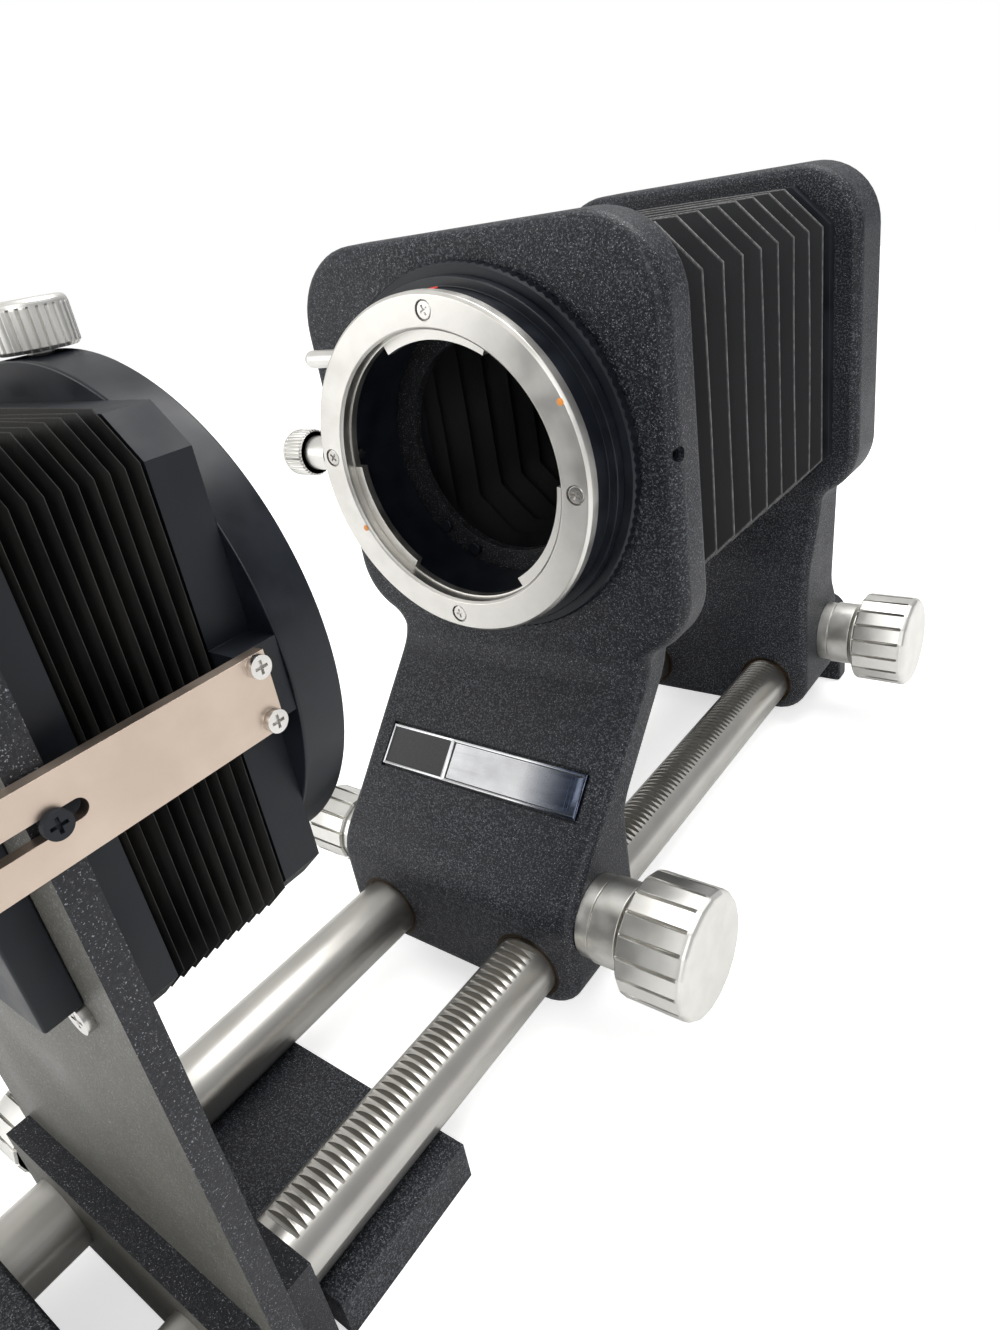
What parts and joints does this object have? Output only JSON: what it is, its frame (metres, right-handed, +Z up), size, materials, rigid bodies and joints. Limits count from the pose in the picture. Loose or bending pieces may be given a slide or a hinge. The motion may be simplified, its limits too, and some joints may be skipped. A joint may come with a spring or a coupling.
{
  "type": "macro bellows unit",
  "caption": "Macro bellows on two rails with rack-and-pinion standards, a lens mount ring, folding bellows, a camera mount and a slide-copying stage in front.",
  "frame": {"origin": "mouth of the tripod socket, in the bottom face of the tripod block, level with the feet", "axes": "+Y from the slide copier and lens side to the camera side along the rails, +Z up, +X towards the focus knobs"},
  "size_m": [0.1008, 0.256, 0.1448],
  "materials": {
    "wrinkle_paint": "matte wrinkle paint on die-cast alloy",
    "black_satin": "satin black anodised finish",
    "rod_steel": "ground steel, satin",
    "satin_aluminium": "turned aluminium, satin clear coat",
    "satin_chrome": "satin chrome over brass",
    "bush_brass": "turned brass",
    "bellows_cloth": "matt black folding cloth with worn ridges",
    "bar_metal": "warm champagne anodised strip",
    "opal": "opal diffusing sheet",
    "index_paint": "index paint"
  },
  "bodies": {
    "rails": {"rail_plain": "rod_steel", "rail_rack": "rod_steel", "rail_end_front": "wrinkle_paint", "rail_end_rear": "wrinkle_paint", "rail_end_screws": "satin_chrome", "tripod_block": "wrinkle_paint", "tripod_bush": "rod_steel", "tripod_block_screws": "satin_chrome"},
    "front_standard": {"front_standard": "wrinkle_paint", "front_rod_bushes": "bush_brass", "front_knob_collar": "satin_aluminium", "front_lock_pad": "bush_brass", "nameplate": "satin_chrome", "lens_mount_ring": "satin_chrome", "lens_mount_screws": "satin_chrome", "lens_mount_collar": "black_satin", "lens_mount_index_dots": "index_paint", "lens_mount_set_screw": "black_satin", "light_baffle": "black_satin", "baffle_screws": "black_satin", "front_bellows_frame": "black_satin", "main_bellows": "bellows_cloth", "bellows_frame_screws_front": "rod_steel"},
    "front_focus": {"front_pinion": "rod_steel", "front_focus_knob": "satin_aluminium", "front_knob_set_screw": "black_satin"},
    "front_lock": {"front_lock_screw": "rod_steel", "front_lock_knob": "satin_aluminium"},
    "lens_ring": {"lens_mount_knurled_ring": "black_satin"},
    "lens_lock": {"lens_mount_lock_knob": "satin_aluminium"},
    "lens_release": {"lens_release_button": "satin_chrome"},
    "rear_standard": {"rear_standard": "wrinkle_paint", "rear_rod_bushes": "bush_brass", "rear_knob_collar": "satin_aluminium", "rear_lock_pad": "bush_brass", "rear_bellows_frame": "black_satin", "bellows_frame_screws_rear": "rod_steel", "camera_mount_seat": "black_satin"},
    "rear_focus": {"rear_pinion": "rod_steel", "rear_focus_knob": "satin_aluminium", "rear_knob_set_screw": "black_satin"},
    "rear_lock": {"rear_lock_screw": "rod_steel", "rear_lock_knob": "satin_aluminium"},
    "camera_mount": {"camera_mount_sleeve": "rod_steel", "camera_mount_ring": "satin_chrome", "camera_mount_screws": "satin_chrome"},
    "camera_lock": {"camera_mount_lock": "satin_aluminium"},
    "copier_stage": {"copier_carrier": "wrinkle_paint", "copier_panel_screws": "satin_chrome", "copier_gate": "black_satin", "copier_diffuser": "opal", "copier_front_frame": "black_satin", "copier_bar_clamps": "black_satin"},
    "copier_clamp": {"copier_clamp_knob": "satin_aluminium"},
    "copier_adapter": {"copier_adapter_frame": "black_satin", "copier_adapter_ring": "black_satin", "copier_side_bars": "bar_metal", "copier_bar_screws": "satin_chrome", "copier_bellows": "bellows_cloth"},
    "copier_lens_lock": {"copier_adapter_knob": "satin_aluminium"}
  },
  "joints": [
    {"name": "front_slide", "type": "slide", "parent": "rails", "child": "front_standard", "axis": [0, 1, 0], "range_m": [-0.033, 0.036], "deforming": ["main_bellows"]},
    {"name": "front_focus_turn", "type": "hinge", "parent": "front_standard", "child": "front_focus", "pos_m": [0.0475, 0.058, 0.0235], "axis": [1, 0, 0], "range_deg": [-540, 500]},
    {"name": "front_lock_turn", "type": "hinge", "parent": "front_standard", "child": "front_lock", "pos_m": [-0.037, 0.058, 0.0235], "axis": [1, 0, 0], "range_deg": [-90, 90]},
    {"name": "lens_ring_turn", "type": "hinge", "parent": "front_standard", "child": "lens_ring", "pos_m": [0, 0.0811, 0.1045], "axis": [0, 1, 0], "range_deg": [-45, 45]},
    {"name": "lens_lock_turn", "type": "hinge", "parent": "front_standard", "child": "lens_lock", "pos_m": [-0.04, 0.0761, 0.1063], "axis": [1, 0, 0], "range_deg": [-180, 180]},
    {"name": "lens_release_push", "type": "slide", "parent": "front_standard", "child": "lens_release", "axis": [1, 0, 0], "range_m": [0, 0.0015], "stiffness_N_per_m": 600, "springref_m": -0.001},
    {"name": "rear_slide", "type": "slide", "parent": "rails", "child": "rear_standard", "axis": [0, 1, 0], "range_m": [-0.026, 0.002]},
    {"name": "rear_focus_turn", "type": "hinge", "parent": "rear_standard", "child": "rear_focus", "pos_m": [0.0475, 0.1865, 0.0235], "axis": [1, 0, 0], "range_deg": [-60, 390]},
    {"name": "rear_lock_turn", "type": "hinge", "parent": "rear_standard", "child": "rear_lock", "pos_m": [-0.037, 0.1865, 0.0235], "axis": [1, 0, 0], "range_deg": [-90, 90]},
    {"name": "camera_mount_turn", "type": "hinge", "parent": "rear_standard", "child": "camera_mount", "pos_m": [0, 0.1925, 0.1045], "axis": [0, 1, 0], "range_deg": [0, 90]},
    {"name": "camera_lock_turn", "type": "hinge", "parent": "rear_standard", "child": "camera_lock", "pos_m": [-0.042, 0.18695, 0.1045], "axis": [1, 0, 0], "range_deg": [-180, 180]},
    {"name": "copier_slide", "type": "slide", "parent": "rails", "child": "copier_stage", "axis": [0, 1, 0], "range_m": [-0.01, 0.002]},
    {"name": "copier_clamp_turn", "type": "hinge", "parent": "copier_stage", "child": "copier_clamp", "pos_m": [-0.039, -0.0235, 0.0135], "axis": [1, 0, 0], "range_deg": [-90, 90]},
    {"name": "copier_adapter_slide", "type": "slide", "parent": "copier_stage", "child": "copier_adapter", "axis": [0, 1, 0], "range_m": [-0.002, 0.005], "deforming": ["copier_bellows"]},
    {"name": "copier_lens_lock_turn", "type": "hinge", "parent": "copier_adapter", "child": "copier_lens_lock", "pos_m": [0, 0.0075, 0.141], "axis": [0, 0, 1], "range_deg": [-180, 180]}
  ],
  "couplings": [
    {"joint": "front_focus_turn", "follows": "front_slide", "rad_per_m": -250},
    {"joint": "rear_focus_turn", "follows": "rear_slide", "rad_per_m": -250}
  ]
}
